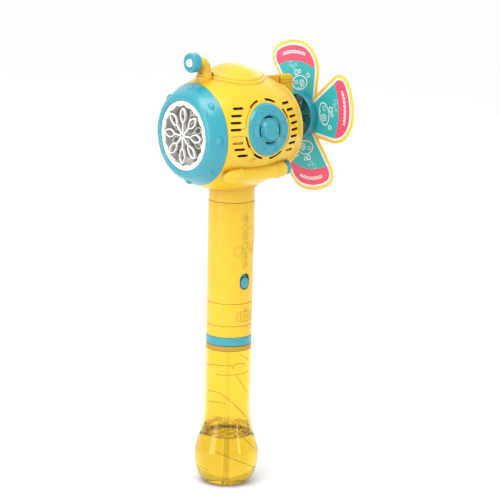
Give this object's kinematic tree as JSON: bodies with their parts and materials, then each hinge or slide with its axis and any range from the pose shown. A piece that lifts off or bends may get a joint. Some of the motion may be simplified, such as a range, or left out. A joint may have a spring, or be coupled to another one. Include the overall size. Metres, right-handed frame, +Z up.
{
  "type": "bubble machine",
  "caption": "Hand-held bubble machine with a submarine-shaped blowing head, geared bubble wheel and pinwheel, hose pump, and a clear screw-on bottle below the handle.",
  "frame": {"origin": "middle of the bottle's flat foot, on the surface the toy stands on", "axes": "+Z up along the handle, -Y towards the nose and bubble outlet, +Y towards the pinwheel, +X to the side with the power button"},
  "size_m": [0.1422, 0.1567, 0.4201],
  "materials": {
    "clear_yellow": "clear tinted, moulded and glossy",
    "solution": "clear liquid",
    "rubber_black": "soft, matte",
    "hose": "milky silicone",
    "yellow": "moulded, soft gloss",
    "teal": "moulded, soft gloss",
    "steel": "plated, satin",
    "white": "moulded, satin",
    "grey_inner": "moulded, matte",
    "cell_green": "printed sleeve, plain",
    "board_green": "solder mask",
    "wire_red": "soft insulation",
    "nylon": "natural nylon",
    "orange_inner": "moulded, matte",
    "brass_inner": "machined",
    "fan_blue": "moulded, satin",
    "print_teal": "printed sheet, satin"
  },
  "bodies": {
    "handle_and_hull": {"dip_tube": "hose", "bottle_socket": "yellow", "accent_ring": "teal", "lower_collar": "yellow", "handle_tube": "yellow", "battery_holder": "grey_inner", "battery_cells": "cell_green", "battery_contacts": "steel", "circuit_board": "board_green", "tact_switch": "grey_inner", "wire_loom": "wire_red", "hull_right": "yellow", "hull_left": "yellow", "nose_ring": "teal", "rear_cover": "yellow", "tower_dome": "yellow", "periscope_pipe": "yellow", "periscope_cap": "teal", "periscope_lamp": "white", "tail_fin": "yellow", "porthole_right": "teal", "porthole_left": "teal", "speaker": "grey_inner", "pod_right": "yellow", "pod_left": "yellow", "pod_nozzles": "teal", "case_screws": "steel", "outlet_ring": "white", "air_duct": "white", "feed_nozzle": "white", "delivery_hose": "hose", "suction_hose": "hose", "pump_hose": "hose", "pump_housing": "grey_inner", "motor_can": "steel", "gearbox_front_plate": "nylon", "gearbox_rear_plate": "nylon"},
    "seal": {"seal_ring": "rubber_black"},
    "bottle": {"bottle": "clear_yellow", "bubble_solution": "solution"},
    "door": {"battery_door": "yellow", "door_screw": "steel"},
    "button": {"power_button": "teal"},
    "main_rotor": {"main_shaft": "steel", "bubble_wheel": "white", "output_gear": "nylon"},
    "pinwheel": {"pinwheel_hub": "teal", "blade_1": "print_teal", "blade_2": "print_teal", "blade_3": "print_teal", "blade_4": "print_teal", "hub_back_plate": "teal", "hub_fasteners": "steel"},
    "compound": {"compound_gear": "nylon"},
    "motor_rotor": {"motor_shaft": "brass_inner", "fan_impeller": "fan_blue"},
    "pump_turner": {"pump_rotor": "orange_inner", "pump_gear": "nylon"},
    "roller_1": {"pump_roller_1": "white"},
    "roller_2": {"pump_roller_2": "white"}
  },
  "joints": [
    {"name": "main_shaft_spin", "type": "hinge", "parent": "handle_and_hull", "child": "main_rotor", "pos_m": [0, 0, 0.343], "axis": [0, 1, 0], "continuous": true},
    {"name": "pinwheel_spin", "type": "hinge", "parent": "handle_and_hull", "child": "pinwheel", "pos_m": [0, 0, 0.349], "axis": [0, 1, 0], "continuous": true},
    {"name": "compound_spin", "type": "hinge", "parent": "handle_and_hull", "child": "compound", "pos_m": [0.01556, 0, 0.35425], "axis": [0, 1, 0], "continuous": true},
    {"name": "motor_spin", "type": "hinge", "parent": "handle_and_hull", "child": "motor_rotor", "pos_m": [0, 0, 0.358], "axis": [0, 1, 0], "continuous": true},
    {"name": "pump_spin", "type": "hinge", "parent": "handle_and_hull", "child": "pump_turner", "pos_m": [0, 0, 0.3174], "axis": [0, 1, 0], "continuous": true},
    {"name": "roller_1_spin", "type": "hinge", "parent": "pump_turner", "child": "roller_1", "pos_m": [0.0063, 0, 0.3174], "axis": [0, 1, 0], "continuous": true},
    {"name": "roller_2_spin", "type": "hinge", "parent": "pump_turner", "child": "roller_2", "pos_m": [-0.0063, 0, 0.3174], "axis": [0, 1, 0], "continuous": true},
    {"name": "bottle_lower", "type": "slide", "parent": "handle_and_hull", "child": "seal", "axis": [0, 0, -1], "range_m": [0, 0.0045]},
    {"name": "bottle_unscrew", "type": "hinge", "parent": "seal", "child": "bottle", "pos_m": [0, 0, 0.1465], "axis": [0, 0, -1], "range_deg": [0, 540]},
    {"name": "battery_door_lift", "type": "slide", "parent": "handle_and_hull", "child": "door", "axis": [-1, 0, 0], "range_m": [0, 0.03]},
    {"name": "power_button_press", "type": "slide", "parent": "handle_and_hull", "child": "button", "axis": [-1, 0, 0], "range_m": [0, 0.0012], "stiffness_N_per_m": 900, "springref_m": -0.0008}
  ],
  "couplings": [
    {"joint": "compound_spin", "follows": "main_shaft_spin", "ratio": -5},
    {"joint": "motor_spin", "follows": "main_shaft_spin", "ratio": 20},
    {"joint": "pump_spin", "follows": "main_shaft_spin", "ratio": -1.6667},
    {"joint": "roller_1_spin", "follows": "main_shaft_spin", "ratio": 5.9615},
    {"joint": "roller_2_spin", "follows": "main_shaft_spin", "ratio": 5.9615},
    {"joint": "bottle_lower", "follows": "bottle_unscrew", "m_per_rad": 0.00047746}
  ]
}
